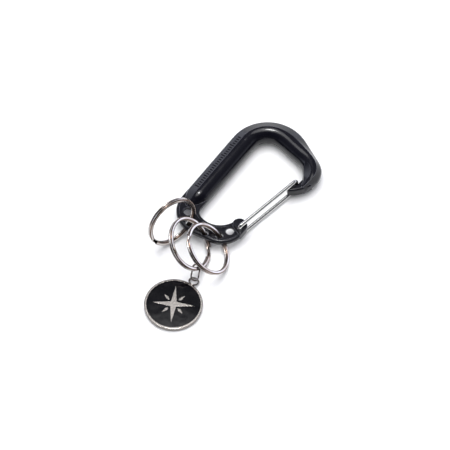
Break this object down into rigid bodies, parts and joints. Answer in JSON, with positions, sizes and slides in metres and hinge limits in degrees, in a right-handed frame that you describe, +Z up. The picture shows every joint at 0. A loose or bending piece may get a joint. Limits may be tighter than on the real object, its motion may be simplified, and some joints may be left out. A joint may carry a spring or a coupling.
{
  "type": "carabiner keyring",
  "caption": "Wire-gate carabiner key holder with split rings in its pierced end plate and a round enamelled tag on a small link.",
  "frame": {"origin": "under the middle of the whole keyring as it lies flat, on the surface it lies on", "axes": "+Z up out of the surface; +Y along the spine of the carabiner, from the ringed end plate towards the nose; +X from the spine towards the gate"},
  "size_m": [0.0501, 0.1316, 0.0278],
  "materials": {
    "anodised_black": "black anodised, glossy",
    "gate_steel": "polished stainless wire",
    "ring_nickel": "nickel plated, polished",
    "tag_nickel": "nickel plated, satin",
    "enamel_black": "glossy enamel"
  },
  "bodies": {
    "frame": {"frame": "anodised_black"},
    "gate": {"wire_gate": "gate_steel"},
    "ring_left": {"split_ring_left": "ring_nickel"},
    "ring_middle": {"split_ring_middle": "ring_nickel"},
    "ring_right": {"split_ring_right": "ring_nickel"},
    "link": {"link": "ring_nickel"},
    "tag": {"tag_medal": "tag_nickel", "tag_enamel": "enamel_black"}
  },
  "joints": [
    {"name": "gate_hinge", "type": "hinge", "parent": "frame", "child": "gate", "pos_m": [0.01027, 0.00127, 0.00525], "axis": [0, 0, 1], "range_deg": [0, 30], "stiffness_Nm_per_rad": 0.05, "springref_deg": -17.19},
    {"name": "ring_left_swing", "type": "hinge", "parent": "frame", "child": "ring_left", "pos_m": [-0.01263, -0.00995, 0.00525], "axis": [0.0688, 0.692, 0.7186], "range_deg": [-90, 20]},
    {"name": "ring_middle_swing", "type": "hinge", "parent": "frame", "child": "ring_middle", "pos_m": [-0.00307, -0.01038, 0.00525], "axis": [-0.7702, 0.2863, 0.5699], "range_deg": [-30, 10]},
    {"name": "ring_right_swing", "type": "hinge", "parent": "frame", "child": "ring_right", "pos_m": [0.00387, -0.00724, 0.00525], "axis": [-0.8203, 0.1305, 0.5568], "range_deg": [-10, 25]},
    {"name": "link_swing", "type": "hinge", "parent": "ring_middle", "child": "link", "pos_m": [0.00591, -0.02974, 0.00555], "axis": [0.2857, 0.7581, -0.5862], "range_deg": [-30, 60]},
    {"name": "tag_swing", "type": "hinge", "parent": "link", "child": "tag", "pos_m": [0.00752, -0.03373, 0.00151], "axis": [-1, 0.0087, 0], "range_deg": [-22, 45]}
  ]
}
